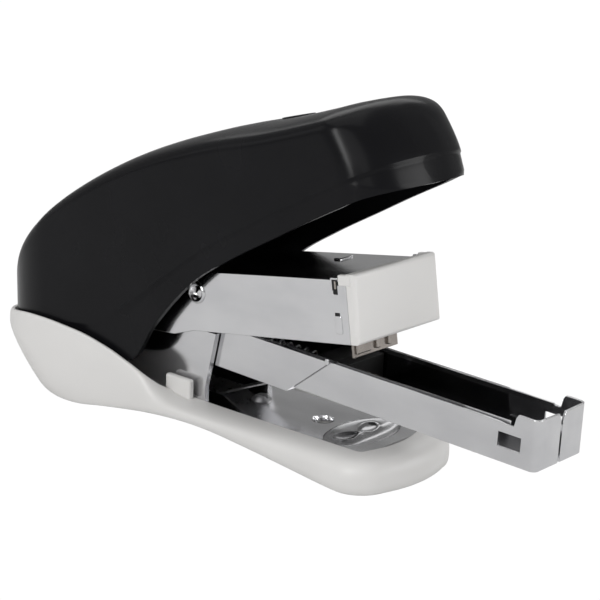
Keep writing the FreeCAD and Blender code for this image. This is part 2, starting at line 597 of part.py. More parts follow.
os.makedirs("parts", exist_ok=True)
for part in PARTS:
    part.Shape.exportStep("parts/%s.step" % part.Label)
    print(part.Label, len(part.Shape.Solids), round(part.Shape.Volume, 1))
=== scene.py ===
import math
import bmesh
import bpy
import numpy as np
from mathutils import Matrix, Vector


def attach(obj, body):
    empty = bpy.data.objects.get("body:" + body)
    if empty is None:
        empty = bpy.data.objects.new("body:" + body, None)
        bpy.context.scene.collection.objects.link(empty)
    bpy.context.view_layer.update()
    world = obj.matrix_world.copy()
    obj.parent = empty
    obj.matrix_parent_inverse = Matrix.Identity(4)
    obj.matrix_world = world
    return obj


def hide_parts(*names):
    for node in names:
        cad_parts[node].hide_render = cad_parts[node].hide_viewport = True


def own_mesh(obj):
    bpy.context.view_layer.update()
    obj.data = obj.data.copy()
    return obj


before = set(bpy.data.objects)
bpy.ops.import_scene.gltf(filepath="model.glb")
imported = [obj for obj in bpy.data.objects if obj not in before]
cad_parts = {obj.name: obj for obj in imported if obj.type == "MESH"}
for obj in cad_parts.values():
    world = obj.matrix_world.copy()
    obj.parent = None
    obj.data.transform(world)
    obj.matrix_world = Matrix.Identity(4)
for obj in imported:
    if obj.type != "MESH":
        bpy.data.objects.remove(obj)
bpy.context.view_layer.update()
MM = 0.001

# places used more than once, in millimetres
RIVET_X, RIVET_Z = -36.9, 31.4
BUTTON_X = -21.5
DECK_HOLE_X = -12.9
ANVIL_X = -2.6
BASE_TAIL, BASE_TAIL_HALF = -101.7, 18.4


# ---------------------------------------------------------------- materials
def new_material(name):
    material = bpy.data.materials.new(name)
    material.use_nodes = True
    nodes = material.node_tree.nodes
    return material, nodes, material.node_tree.links, nodes["Principled BSDF"]


def place_coordinates(nodes, links, scale=(1, 1, 1)):
    """Object coordinates in metres: every node's object sits at the origin."""
    where = nodes.new("ShaderNodeTexCoord")
    mapping = nodes.new("ShaderNodeMapping")
    mapping.inputs["Scale"].default_value = scale
    links.new(where.outputs["Object"], mapping.inputs["Vector"])
    return mapping.outputs["Vector"]


def noise(nodes, links, vector, scale, detail=3.0, rough=0.5):
    texture = nodes.new("ShaderNodeTexNoise")
    texture.inputs["Scale"].default_value = scale
    texture.inputs["Detail"].default_value = detail
    texture.inputs["Roughness"].default_value = rough
    links.new(vector, texture.inputs["Vector"])
    return texture.outputs["Fac"]


def spread(nodes, links, value, low, high):
    """Maps a noise value to a range."""
    node = nodes.new("ShaderNodeMapRange")
    node.inputs["From Min"].default_value = 0.3
    node.inputs["From Max"].default_value = 0.7
    node.inputs["To Min"].default_value = low
    node.inputs["To Max"].default_value = high
    links.new(value, node.inputs["Value"])
    return node.outputs["Result"]


def tint(nodes, links, value, dark, light):
    ramp = nodes.new("ShaderNodeValToRGB")
    ramp.color_ramp.elements[0].position = 0.3
    ramp.color_ramp.elements[1].position = 0.7
    ramp.color_ramp.elements[0].color = (*dark, 1)
    ramp.color_ramp.elements[1].color = (*light, 1)
    links.new(value, ramp.inputs["Fac"])
    return ramp.outputs["Color"]


def bump(nodes, links, shader, height, distance):
    node = nodes.new("ShaderNodeBump")
    node.inputs["Distance"].default_value = distance
    node.inputs["Strength"].default_value = 1.0
    links.new(height, node.inputs["Height"])
    links.new(node.outputs["Normal"], shader.inputs["Normal"])


def plastic(name, dark, light, rough, depth=0.00001, specular=0.5):
    """Injection-moulded ABS: a fine spark-eroded grain with slight tone and gloss variation."""
    material, nodes, links, shader = new_material(name)
    vector = place_coordinates(nodes, links)
    broad = noise(nodes, links, vector, 60.0, 2.0)
    fine = noise(nodes, links, vector, 900.0, 4.0, 0.6)
    links.new(tint(nodes, links, broad, dark, light), shader.inputs["Base Color"])
    links.new(spread(nodes, links, broad, rough[0], rough[1]), shader.inputs["Roughness"])
    shader.inputs["Specular IOR Level"].default_value = specular
    bump(nodes, links, shader, fine, depth)
    return material


def metal(name, dark, light, rough, streak=(1, 1, 1), grain=140.0, depth=0.000004, wave=0.0):
    """Plated sheet: faint haze and, with streak, rolling marks along one direction."""
    material, nodes, links, shader = new_material(name)
    vector = place_coordinates(nodes, links, streak)
    haze = noise(nodes, links, vector, grain, 4.0, 0.55)
    links.new(tint(nodes, links, haze, dark, light), shader.inputs["Base Color"])
    links.new(spread(nodes, links, haze, rough[0], rough[1]), shader.inputs["Roughness"])
    shader.inputs["Metallic"].default_value = 1.0
    if wave:
        slow = noise(nodes, links, place_coordinates(nodes, links), wave, 1.0)
        bump(nodes, links, shader, slow, depth)
    else:
        bump(nodes, links, shader, haze, depth)
    return material


WHITE = plastic("white_abs", (0.62, 0.612, 0.60), (0.65, 0.642, 0.63), (0.36, 0.46), depth=0.000006)
BLACK = plastic("black_abs", (0.0046, 0.0046, 0.0054), (0.0062, 0.0062, 0.0072), (0.20, 0.28),
                depth=0.000004, specular=0.11)
# Matte black plastic for the pusher and the lever inside the hood; on the arm it also paints the shade in the
# slot and along the pressed tab.
BLACK_PLASTIC_AND_PAINTED_SHADE = plastic("black_abs_inside_and_painted_shade", (0.008, 0.008, 0.008), (0.011, 0.011, 0.011), (0.5, 0.62),
                      specular=0.25)
CHROME = metal("bright_plate", (0.63, 0.63, 0.645), (0.73, 0.73, 0.74), (0.10, 0.19), (0.4, 1, 1),
               depth=0.00003, wave=55.0)
# The staple rail is chromed like the channel round it but is coloured dark here: painted dark reflection
# inside the channel.
RAIL_PAINTED_DARK_REFLECTION = metal("rail_steel_painted_dark_reflection", (0.13, 0.13, 0.135), (0.19, 0.19, 0.195), (0.14, 0.24), (0.4, 1, 1))
# The anvil is a steel plate coloured darker than the chrome deck, which paints in the dark reflections of the
# handle and magazine above it.
ANVIL_PAINTED_DARK_REFLECTION = metal("anvil_plate_painted_dark_reflection", (0.27, 0.27, 0.275), (0.36, 0.36, 0.365), (0.20, 0.30), (1, 1, 1))
BLADE_STEEL = metal("hardened_strip", (0.28, 0.255, 0.235), (0.42, 0.385, 0.355), (0.20, 0.30), (1, 1, 0.3))
STEEL = metal("spring_steel", (0.42, 0.42, 0.43), (0.56, 0.56, 0.57), (0.24, 0.36), (1, 1, 1), 400.0)
RUBBER = plastic("rubber", (0.018, 0.018, 0.018), (0.028, 0.028, 0.028), (0.75, 0.9))


# ---------------------------------------------------------------- mesh helpers
def make_piece(name, vertices, faces, body, material, smooth=30.0):
    mesh = bpy.data.meshes.new(name)
    mesh.from_pydata([tuple(v) for v in vertices], [], faces)
    mesh.update()
    return dress(bpy.data.objects.new(name, mesh), body, material, smooth)


def dress(piece, body, material, smooth=30.0):
    """Links the piece to the scene, gives it its material and says which body carries it."""
    bpy.context.scene.collection.objects.link(piece)
    piece.data.materials.clear()
    piece.data.materials.append(material)
    piece.data.shade_smooth()
    piece.data.set_sharp_from_angle(angle=math.radians(smooth))
    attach(piece, body)
    return piece


def softened(node, body, material, width, cuts=()):
    """A copy of a node with every hard edge rolled over.

    cuts lists planes across x, in millimetres, through the openings in its flat walls.
    """
    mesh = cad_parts[node].data.copy()
    work = bmesh.new()
    work.from_mesh(mesh)
    bmesh.ops.remove_doubles(work, verts=work.verts, dist=0.000004)
    for x in cuts:
        whole = work.verts[:] + work.edges[:] + work.faces[:]
        cut = bmesh.ops.bisect_plane(work, geom=whole, plane_co=(x * MM, 0, 0), plane_no=(1, 0, 0))
        for edge in cut["geom_cut"]:
            if isinstance(edge, bmesh.types.BMEdge):
                edge.seam = True
    bmesh.ops.dissolve_limit(work, angle_limit=math.radians(1.0), verts=work.verts, edges=work.edges,
                             delimit={"SEAM"})
    work.to_mesh(mesh)
    work.free()
    piece = dress(bpy.data.objects.new(node + "_skin", mesh), body, material)
    bevel = piece.modifiers.new("edge_radius", "BEVEL")
    bevel.width = width
    bevel.segments = 3
    bevel.limit_method = "ANGLE"
    bevel.angle_limit = math.radians(28)
    bevel.harden_normals = True
    bevel.use_clamp_overlap = True
    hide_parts(node)
    return piece


# ---------------------------------------------------------------- curves and shells
def smooth_curve(knots, count, ease=False):
    """A centripetal Catmull-Rom curve sampled evenly by length, or, with ease, closer at both ends."""
    points = np.array(knots, float)
    points = np.vstack([2 * points[0] - points[1], points, 2 * points[-1] - points[-2]])
    out = []
    for p0, p1, p2, p3 in zip(points, points[1:], points[2:], points[3:]):
        t1 = np.linalg.norm(p1 - p0) ** 0.5
        t2 = t1 + np.linalg.norm(p2 - p1) ** 0.5
        t3 = t2 + np.linalg.norm(p3 - p2) ** 0.5
        for t in np.linspace(t1, t2, 40, endpoint=False):
            a1 = ((t1 - t) * p0 + t * p1) / t1
            a2 = ((t2 - t) * p1 + (t - t1) * p2) / (t2 - t1)
            a3 = ((t3 - t) * p2 + (t - t2) * p3) / (t3 - t2)
            b1 = ((t2 - t) * a1 + t * a2) / t2
            b2 = ((t3 - t) * a2 + (t - t1) * a3) / (t3 - t1)
            out.append(((t2 - t) * b1 + (t - t1) * b2) / (t2 - t1))
    out = np.array(out + [points[-2]])
    length = np.concatenate([[0], np.cumsum(np.linalg.norm(np.diff(out, axis=0), axis=1))])
    share = np.linspace(0, 1, count)
    if ease:
        share = (1 - np.cos(np.pi * share)) / 2
    at = share * length[-1]
    return np.stack([np.interp(at, length, out[:, k]) for k in range(out.shape[1])], axis=1)


def table(x, knots):
    """A smooth height or width that varies along x."""
    curve = smooth_curve(knots, 400)
    return np.interp(x, curve[:, 0], curve[:, 1])


def quarter(t, power):
    """Rises from 0 to 1 like a quarter of a superellipse as t goes from 0 to 1."""
    return (1 - (1 - np.clip(t, 0.0, 1.0)) ** power) ** (1 / power)


def distance_to(points, line):
    """The distance from each point to a polyline in the side view."""
    best = np.full(len(points), 1e9)
    for start, end in zip(line, line[1:]):
        step = end - start
        t = np.clip(((points - start) @ step) / (step @ step), 0, 1)
        best = np.minimum(best, np.linalg.norm(points - (start + t[:, None] * step), axis=1))
    return best


def grid_faces(rows, columns, first=0):
    faces = []
    for r in range(rows - 1):
        for c in range(columns - 1):
            corner = first + r * columns + c
            faces.append((corner, corner + 1, corner + columns + 1, corner + columns))
    return faces


def grid_normals(grid):
    across = np.gradient(grid, axis=1)
    along = np.gradient(grid, axis=0)
    normal = np.cross(along, across)
    return normal / np.maximum(np.linalg.norm(normal, axis=2), 1e-9)[..., None]


def clean(mesh, distance=0.000004):
    """Joins points that meet and turns every face outward."""
    work = bmesh.new()
    work.from_mesh(mesh)
    bmesh.ops.remove_doubles(work, verts=work.verts, dist=distance)
    bmesh.ops.recalc_face_normals(work, faces=work.faces)
    work.to_mesh(mesh)
    work.free()


# ---------------------------------------------------------------- handle
HANDLE_TOP = [(-100.2, 14.9), (-100.45, 17), (-98.4, 21.5), (-94.6, 28.4), (-89.6, 34.8), (-82.6, 41.4),
              (-71, 49.2), (-54, 57.8), (-34, 64.9), (-18, 69.1), (-7, 72.5), (-1, 74.4)]
HANDLE_NOSE = [(3.5, 75.02), (6.3, 73.2), (11.8, 65.9)]
HANDLE_CREASE = [(-100.2, 14.9), (-90, 16.2), (-68, 19), (-60, 22.5), (-53.5, 26.5), (-40.5, 36), (-32, 42),
                 (-18, 50.2), (-6.5, 56.3), (2.5, 61.0), (7.5, 63.6), (11.8, 65.9)]
HANDLE_RIM = [(-99.8, 14.1), (-95.5, 13.2), (-90, 12.2), (-58, 12.6), (-51.8, 14.6), (-45.9, 23.0),
              (-34.4, 34.8), (-24, 41.5), (-12.7, 47.8), (-5, 52.1), (3, 56.3), (8, 58.8), (13.9, 60.9)]
HANDLE_REAR, HANDLE_HALF = -100.6, 16.4
STEP_DEPTH, HANDLE_WALL, RIM_RADIUS = 0.28, 1.15, 0.22


def handle_half(side):
    """Half the handle's width at points of its side view: full, rolled over at crown, tail and nose."""
    top = smooth_curve(HANDLE_TOP + HANDLE_NOSE, 400)
    top = top[:np.argmax(top[:, 1]) + 1]
    top = np.vstack([top, top[-1] + (15, 0.6)])
    nose = smooth_curve(HANDLE_TOP[-1:] + HANDLE_NOSE + HANDLE_RIM[-1:], 120)
    nose = nose[np.argmax(nose[:, 1]):][::-1]
    face = np.interp(side[:, 1], nose[:, 1], nose[:, 0])
    depth = np.maximum(distance_to(side, top), 0.01)
    crown_roll = np.interp(side[:, 0], [-100.5, -97, -84], [0.8, 2.0, 4.6])
    tail_roll, nose_roll = 20.6, 10.0
    tail = quarter((side[:, 0] - HANDLE_REAR) / tail_roll, 2.1)
    return (HANDLE_HALF * tail * quarter(depth / crown_roll, 2.7)
            * quarter((face - side[:, 0]) * 0.88 / nose_roll, 2.2))


def make_handle():
    """The hood as one skin from crown to rim, stepped in below the crease except at the tail."""
    columns, upper, lower = 210, 44, 9
    crown = smooth_curve(HANDLE_TOP + HANDLE_NOSE, columns, True)
    crease = smooth_curve(HANDLE_CREASE, columns, True)
    rim = smooth_curve(HANDLE_RIM, columns, True)
    drop = np.linspace(0, 1, upper) ** 1.6
    band = np.concatenate([[0, 0.035], np.linspace(0.12, 1, lower)])
    side = np.concatenate([crown + (crease - crown) * v for v in drop]
                          + [crease + (rim - crease) * v for v in band[1:]])
    half = handle_half(side).reshape(-1, columns)
    half[:, [0, -1]] = 0
    half[0] = 0
    side = side.reshape(-1, columns, 2)
    near = np.stack([side[..., 0], -half, side[..., 1]], axis=-1)
    far = near[:0:-1] * np.array([1, -1, 1])
    grid = np.concatenate([far, near])
    normals = grid_normals(grid)
    rows = len(grid)
    step = np.zeros(rows)
    step[-lower:] = STEP_DEPTH
    step[:lower] = STEP_DEPTH
    outward = -1 if normals[rows // 2, columns // 2, 2] < 0 else 1
    faded = 30
    fade = np.clip(np.arange(columns) / faded, 0, 1) ** 2
    grid = grid - outward * normals * (step[:, None] * fade)[..., None]
    piece = make_piece("handle_shell", grid.reshape(-1, 3) * MM, grid_faces(rows, columns),
                       "handle", BLACK, 40.0)
    clean(piece.data)
    wall = piece.modifiers.new("wall", "SOLIDIFY")
    wall.thickness = HANDLE_WALL * MM
    wall.offset = -1
    wall.use_rim = True
    edge = piece.modifiers.new("rim_radius", "BEVEL")
    edge.width = RIM_RADIUS * MM
    edge.segments = 3
    edge.limit_method = "ANGLE"
    edge.angle_limit = math.radians(60)
    edge.harden_normals = True
    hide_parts("handle_cover")


make_handle()


# ---------------------------------------------------------------- base
BASE_RIM = [(-103, 13.0), (-101, 14.2), (-96, 15.5), (-91, 16.6), (-85.5, 17.6), (-79, 17.9), (-72, 17.6),
            (-66, 17.1), (-62, 16.4), (-57.3, 15.3), (-53, 13.9), (-50, 12.8), (-47.6, 11.4), (-45.6, 9.6),
            (-43.5, 8.4), (-40, 7.8), (-34, 7.4), (13.5, 7.3)]
BASE_RIM_INSET = [(-103, 0.8), (-52, 0.8), (-49, 1.0), (-47, 1.9), (-45, 4.0), (-43, 5.7), (-39, 6.5),
                  (-5, 5.9), (13.5, 5.9)]
BASE_ARCH = [(-103, 0.4), (-73, 0.4), (-67, 0.9), (-61, 2.0), (-54, 3.1), (-47, 4.0), (-38, 4.5), (-30, 4.3),
             (-19, 3.1), (-9, 1.8), (0, 0.7), (4, 0.4), (13.5, 0.4)]
BASE_WIDEST = [(-103, 12.7), (-88, 11.5), (-76, 7.5), (-66, 4.5), (-54, 2.4), (-40, 1.2), (-20, 1.6),
               (0, 2.0), (13.5, 2.2)]
BASE_UNDERCUT = [(BASE_TAIL, 14.0), (-99, 13.2), (-96, 11.6), (-92, 9.2), (-86, 5.8), (-80, 3.0), (-74, 1.3),
                 (-64, 0.7), (13.5, 0.7)]
BASE_HALF = [(-103, BASE_TAIL_HALF), (-72, BASE_TAIL_HALF), (-52, 18.0), (-30, 16.8), (-5, 15.8),
             (13.5, 15.7)]


def base_outline():
    """One side of the base in plan, from the tail round to the middle of the nose."""
    rear, tail, front, corner, bow, power = BASE_TAIL, 21.8, 12.9, 7.6, 1.5, 0.93
    points = []
    for turn in np.linspace(0, math.pi / 2, 30):
        points.append((rear + tail - tail * math.cos(turn) ** power,
                       BASE_TAIL_HALF * math.sin(turn) ** power))
    straight = front - bow - corner
    along = np.linspace(rear + tail, straight, 60)[1:-1]
    points += list(zip(along, table(along, BASE_HALF)))
    half = points[-1][1]
    for turn in np.linspace(0, math.radians(80), 16):
        points.append((straight + corner * math.sin(turn), half - corner + corner * math.cos(turn)))
    end_x, end_y = points[-1]
    for y in np.linspace(end_y, 0, 12)[1:]:
        points.append((front - (front - end_x) * (y / end_y) ** 2, y))
    return np.array(points)


def make_base():
    """The moulded base: undercut heel, rolled shoulders, tray for the frame and a hollow underside."""
    outline = base_outline()
    x = outline[:, 0]
    along = np.gradient(outline, axis=0)
    outward = np.stack([-along[:, 1], along[:, 0]], axis=1)
    outward /= np.linalg.norm(outward, axis=1)[:, None]
    outward[0], outward[-1] = (-1, 0), (1, 0)
    rim, inset, arch, widest, undercut = [table(x, knots) for knots in
                                          (BASE_RIM, BASE_RIM_INSET, BASE_ARCH, BASE_WIDEST, BASE_UNDERCUT)]
    power = np.interp(x, [-102, -84, -76], [1.35, 1.6, 2.0])
    shoulder = 0.64
    tray = np.interp(x, [-47, -44], [5.0, 5.65])
    ceiling = np.maximum(arch + 0.1, tray - 1.2)
    lower = []
    for turn in np.linspace(0, math.pi / 2, 12):
        lower.append((undercut * (1 - np.sin(turn) ** (2 / power)),
                      arch + widest * (1 - np.cos(turn) ** (2 / power))))
    middle = arch + widest
    upper = []
    for turn in np.linspace(0, math.pi / 2, 15)[1:]:
        upper.append((inset * (1 - math.cos(turn) ** shoulder),
                      middle + (rim - middle) * math.sin(turn) ** shoulder))
    inner = [(np.maximum(inset + 0.55, off + 1.6), np.maximum(up + 1.2, tray)) for off, up in lower[::-1]]
    rows = ([(undercut + 2.3, ceiling), (undercut + 1.7, ceiling - 0.1), (undercut + 1.5, arch + 0.2),
             (undercut + 1.3, arch), (undercut + 0.2, arch)]
            + [(off, up + 0.12) for off, up in lower[:1]] + lower[1:] + upper
            + [(inset + 0.2, rim - 0.02), (inset + 0.4, rim - 0.12), (inset + 0.5, rim - 0.35)] + inner)
    sides = []
    for mirror in (-1, 1):
        grid = []
        for off, up in rows:
            place = outline - outward * np.broadcast_to(off, x.shape)[:, None]
            place[:, 1] = np.maximum(place[:, 1], 0)
            place[[0, -1], 1] = 0
            grid.append(np.stack([place[:, 0], mirror * place[:, 1], np.broadcast_to(up, x.shape)], axis=-1))
        sides.append(np.array(grid))
    rows_count, columns = len(rows), len(x)
    points = np.concatenate([side.reshape(-1, 3) for side in sides])
    half_count = rows_count * columns
    faces = grid_faces(rows_count, columns) + grid_faces(rows_count, columns, half_count)
    for first in (0, (rows_count - 1) * columns):
        for c in range(first, first + columns - 1):
            faces.append((c, c + 1, c + 1 + half_count, c + half_count))
    piece = make_piece("base_shell", points * MM, faces, "base", WHITE, 38.0)
    clean(piece.data, 0.00002)
    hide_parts("base_cover")


def in_frame(point, tilt):
    """Where a point of a tilted frame lies; tilt is (height, pitch in degrees, nose down)."""
    height, pitch = tilt
    x, y, z = point
    turn = math.radians(pitch)
    return (x * math.cos(turn) + z * math.sin(turn), y, height + z * math.cos(turn) - x * math.sin(turn))


def rounded_box(name, low, high, radius, body, material, tilt=(0, 0)):
    """A block between two corners (in millimetres, in a tilted frame) with all its edges rounded."""
    (x0, y0, z0), (x1, y1, z1) = low, high
    points = [in_frame((x, y, z), tilt) for x in (x0, x1) for y in (y0, y1) for z in (z0, z1)]
    faces = [(0, 1, 3, 2), (4, 6, 7, 5), (0, 4, 5, 1), (2, 3, 7, 6), (0, 2, 6, 4), (1, 5, 7, 3)]
    piece = make_piece(name, np.array(points) * MM, faces, body, material)
    clean(piece.data)
    edge = piece.modifiers.new("edge_radius", "BEVEL")
    edge.width = radius * MM
    edge.segments = 3
    edge.harden_normals = True
    return piece


def lathe(name, profile, centre, axis, body, material):
    """Revolves a closed (radius, depth) profile in millimetres about an axis through the centre."""
    aim = Vector(axis).normalized()
    across = aim.orthogonal().normalized()
    upright = aim.cross(across)
    turns = 48
    points = []
    for n in range(turns):
        turn = 2 * math.pi * n / turns
        ray = across * math.cos(turn) + upright * math.sin(turn)
        for radius, depth in profile:
            points.append((Vector(centre) + ray * radius + aim * depth) * MM)
    count = len(profile)
    faces = []
    for n in range(turns):
        here, there = n * count, ((n + 1) % turns) * count
        for k in range(count - 1):
            faces.append((here + k, here + k + 1, there + k + 1, there + k))
    piece = make_piece(name, points, faces, body, material, 35.0)
    clean(piece.data)
    return piece


def make_eyelets():
    """The rivet's rolled heads, each with a bright dished end, and its tube between the arm walls."""
    head = [(0, -0.1), (0.45, -0.14), (0.9, -0.3), (1.25, -0.46), (1.45, -0.3), (1.58, 0.1), (1.74, 0.34),
            (1.95, 0.42), (2.18, 0.34), (2.36, 0.14), (2.42, -0.05), (1.8, -0.05), (1.8, -1.2), (0, -1.2)]
    for side in (-1, 1):
        piece = lathe("rivet_head_%s" % ("near" if side < 0 else "far"), head,
                      (RIVET_X, side * 12.65, RIVET_Z), (0, side, 0), "arm", CHROME)
        if side < 0:
            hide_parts("roller_eyelet")
    tube = [(0, -11.6), (1.78, -11.6), (1.78, 11.6), (0, 11.6)]
    lathe("rivet_tube", tube, (RIVET_X, 0, RIVET_Z), (0, 1, 0), "arm", CHROME)


def crown_height(x):
    crown = smooth_curve(HANDLE_TOP + HANDLE_NOSE, 400)
    crown = crown[:np.argmax(crown[:, 1])]
    return float(np.interp(x, crown[:, 0], crown[:, 1]))


def make_plug():
    """The round cover button in the crown: a raised lip round a slightly dished face."""
    reach = 2.0
    ahead, behind = crown_height(BUTTON_X + reach), crown_height(BUTTON_X - reach)
    slope = math.atan2(ahead - behind, 2 * reach)
    profile = [(0, 0.0), (2.2, 0.02), (2.6, 0.06), (2.85, 0.18), (3.1, 0.24), (3.35, 0.18), (3.5, -0.05),
               (3.5, -1.2), (0, -1.2)]
    piece = lathe("button_plug", profile, (BUTTON_X, 0, crown_height(BUTTON_X)),
                  (-math.sin(slope), 0, math.cos(slope)), "handle", BLACK)
    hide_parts("handle_plug")


def make_anvil():
    """The clinching plate: an oval dish, deeper ahead of its middle, with a groove for each staple leg."""
    centre_x, half_x, half_y, top = ANVIL_X, 5.6, 10.0, 6.95
    rings, turns = 44, 96
    points = []
    for r in range(rings + 1):
        reach = (r / rings) ** 0.8
        for n in range(turns):
            turn = 2 * math.pi * n / turns
            u, v = reach * math.cos(turn), reach * math.sin(turn)
            x, y = half_x * u, half_y * v
            ahead = min(max((x + 0.4) / 2.2, 0), 1)
            z = top - (0.22 + 1.0 * ahead * ahead * (3 - 2 * ahead)) * (1 - reach ** 5)
            for side in (-1, 1):
                along, beside = (y - side * 3.3) / 3.0, (x + 1.0 + 0.12 * side * y) / (1.25 + 0.12 * side * y)
                groove = along ** 2 + beside ** 2
                z -= 0.75 * max(1 - groove, 0) ** 0.6
                z += 0.1 * math.exp(-((groove - 1.25) / 0.3) ** 2)
            points.append((centre_x + x, y, z))
    for n in range(turns):
        turn = 2 * math.pi * n / turns
        points.append((centre_x + half_x * math.cos(turn), half_y * math.sin(turn), 5.0))
    faces = []
    for r in range(rings + 1):
        for n in range(turns):
            m = (n + 1) % turns
            faces.append((r * turns + n, r * turns + m, (r + 1) * turns + m, (r + 1) * turns + n))
    last = (rings + 1) * turns
    faces.append(tuple(range(last, last + turns)))
    # The plate's darker colour is painted dark reflection.
    piece = make_piece("anvil_dish", np.array(points) * MM, faces, "base", ANVIL_PAINTED_DARK_REFLECTION, 50.0)
    clean(piece.data)
    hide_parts("anvil")


MAGAZINE_TILT = (14.88, 1.96)
ARM_TILT = (28.81, -8.77)


def make_magazine():
    """The bright channel: thin walls bent round the front corners into two flaps.

    The walls are humped near the front and have a window each.
    """
    front, half, radius, windows = 43.8, 7.8, 1.3, (35.3, 40.3)
    top_line = ((-18, 7.8), (5, 7.8), (30, 7.8), (windows[0], 7.7), (38.2, 7.45), (38.6, 7.6), (39.0, 9.4),
                (39.4, 9.95), (windows[1], 10.0))
    path = [(x, -half, top) for x, top in top_line]
    for turn in np.linspace(0, math.pi / 2, 9):
        bend = (front - radius + radius * math.sin(turn), -half + radius - radius * math.cos(turn))
        path.append((*bend, 9.95))
    path += [(front, -4.2, 9.9), (front, -1.0, 9.8), (front, -0.55, 8.8), (front, -0.3, 8.0)]
    columns = len(path)
    points, faces = [], []
    for mirror in (1, -1):
        first = len(points)
        for row in range(4):
            for x, y, top in path:
                points.append(in_frame((x, y * mirror, (0, 2.9, 5.7, top)[row]), MAGAZINE_TILT))
        for row in range(3):
            for c in range(columns - 1):
                if row == 1 and windows[0] <= path[c][0] < windows[1]:
                    continue
                k = first + row * columns + c
                face = (k, k + 1, k + 1 + columns, k + columns)
                faces.append(face if mirror > 0 else face[::-1])
    mesh = bpy.data.meshes.new("magazine_walls")
    mesh.from_pydata([tuple(np.array(p) * MM) for p in points], [], faces)
    piece = dress(bpy.data.objects.new("magazine_walls", mesh), "magazine", CHROME, 35.0)
    wall = piece.modifiers.new("sheet", "SOLIDIFY")
    wall.thickness = 0.5 * MM
    wall.offset = -1
    edge = piece.modifiers.new("edge_radius", "BEVEL")
    edge.width = 0.11 * MM
    edge.segments = 2
    edge.limit_method = "ANGLE"
    edge.angle_limit = math.radians(50)
    edge.harden_normals = True
    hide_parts("magazine_channel")
    rounded_box("magazine_floor", (-18, -7.4, 0), (42.6, 7.4, 0.5), 0.1, "magazine", CHROME,
                MAGAZINE_TILT)
    for side, name in ((-1, "near"), (1, "far")):
        rail = sorted((side * 7.1, side * 6.75))
        rounded_box("rail_edge_%s" % name, (-17.5, rail[0], 7.0), (37.4, rail[1], 8.05), 0.1, "magazine",
                    CHROME, MAGAZINE_TILT)
        ear = sorted((side * 8.95, side * 8.3))
        rounded_box("holder_ear_%s" % name, (-5.7, ear[0], 7.4), (-4.8, ear[1], 8.75), 0.25, "holder",
                    CHROME, MAGAZINE_TILT)


def make_pusher_spring():
    """The coil on the guide rod: it stays on the holder."""
    start, end, radius, wire, turns, steps, ring = -63.7, -14.3, 1.5, 0.2, 22, 24, 8
    points = []
    for n in range(turns * steps + 1):
        turn = 2 * math.pi * n / steps
        along = start + (end - start) * n / (turns * steps)
        for k in range(ring):
            lean = 2 * math.pi * k / ring
            reach = radius + wire * math.cos(lean)
            points.append(in_frame((along + wire * math.sin(lean), reach * math.cos(turn),
                                    3.9 + reach * math.sin(turn)), MAGAZINE_TILT))
    faces = []
    for n in range(turns * steps):
        for k in range(ring):
            a, b = n * ring + k, n * ring + (k + 1) % ring
            faces.append((a, b, b + ring, a + ring))
    faces += [tuple(range(ring)), tuple(range(len(points) - ring, len(points)))]
    piece = make_piece("pusher_coil", np.array(points) * MM, faces, "holder", STEEL, 50.0)
    clean(piece.data)
    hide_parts("pusher_spring")
    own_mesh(piece)


def arm_block(name, low, high, radius, material):
    """A block on both side walls of the arm, given by its x, outward and z ranges."""
    for side, label in ((-1, "near"), (1, "far")):
        sides = sorted((side * low[1], side * high[1]))
        rounded_box("%s_%s" % (name, label), (low[0], sides[0], low[2]), (high[0], sides[1], high[2]), radius,
                    "arm", material, ARM_TILT)


def make_arm_details():
    """The cap's ears over the walls, the curled slots, the pressed tabs, a dimple and the blade's ribs."""
    arm_block("cap_ear", (2.35, 11.6, 11.35), (5.4, 12.8, 13.5), 0.3, WHITE)
    arm_block("slot_patch", (2.1, 12.2, 9.4), (3.6, 12.68, 11.45), 0.04, CHROME)
    # Painted shade: a dark block fills the slot where its inside is only in shade.
    arm_block("slot_shade", (0.95, 12.4, 9.75), (2.15, 12.68, 12.9), 0.04, BLACK_PLASTIC_AND_PAINTED_SHADE)
    arm_block("slot_lip", (0.55, 12.3, 10.4), (0.95, 12.92, 12.9), 0.18, CHROME)
    arm_block("slot_curl", (0.6, 12.3, 12.5), (2.4, 12.92, 12.98), 0.22, CHROME)
    arm_block("slot_hook", (1.35, 12.3, 10.7), (1.85, 12.85, 12.3), 0.2, BLADE_STEEL)
    arm_block("pressed_tab", (0.85, 12.3, 2.0), (2.6, 12.88, 5.6), 0.28, CHROME)
    # Painted shade: a dark block along the top of the pressed tab stands for the shade in its gap.
    arm_block("tab_shade", (0.95, 12.4, 5.4), (2.2, 12.68, 6.15), 0.04, BLACK_PLASTIC_AND_PAINTED_SHADE)
    rounded_box("roof_dimple", (-14.2, 5.2, 12.2), (-12.2, 9.4, 12.85), 0.3, "arm", CHROME,
                ARM_TILT)
    for low, high in ((-6.3, -2.2), (-0.4, 0.8), (3.2, 4.3)):
        rounded_box("blade_rib", (-0.5, low, -3.5), (0.3, high, 2.0), 0.25, "arm", BLADE_STEEL,
                    ARM_TILT)


make_base()
for side in (-1, 1):
    low, high = sorted((side * 11.0, side * 12.5))
    rounded_box("frame_tab_%s" % ("near" if side < 0 else "far"), (-46.2, low, 4.0), (-38.9, high, 11.8),
                0.55, "base", WHITE)


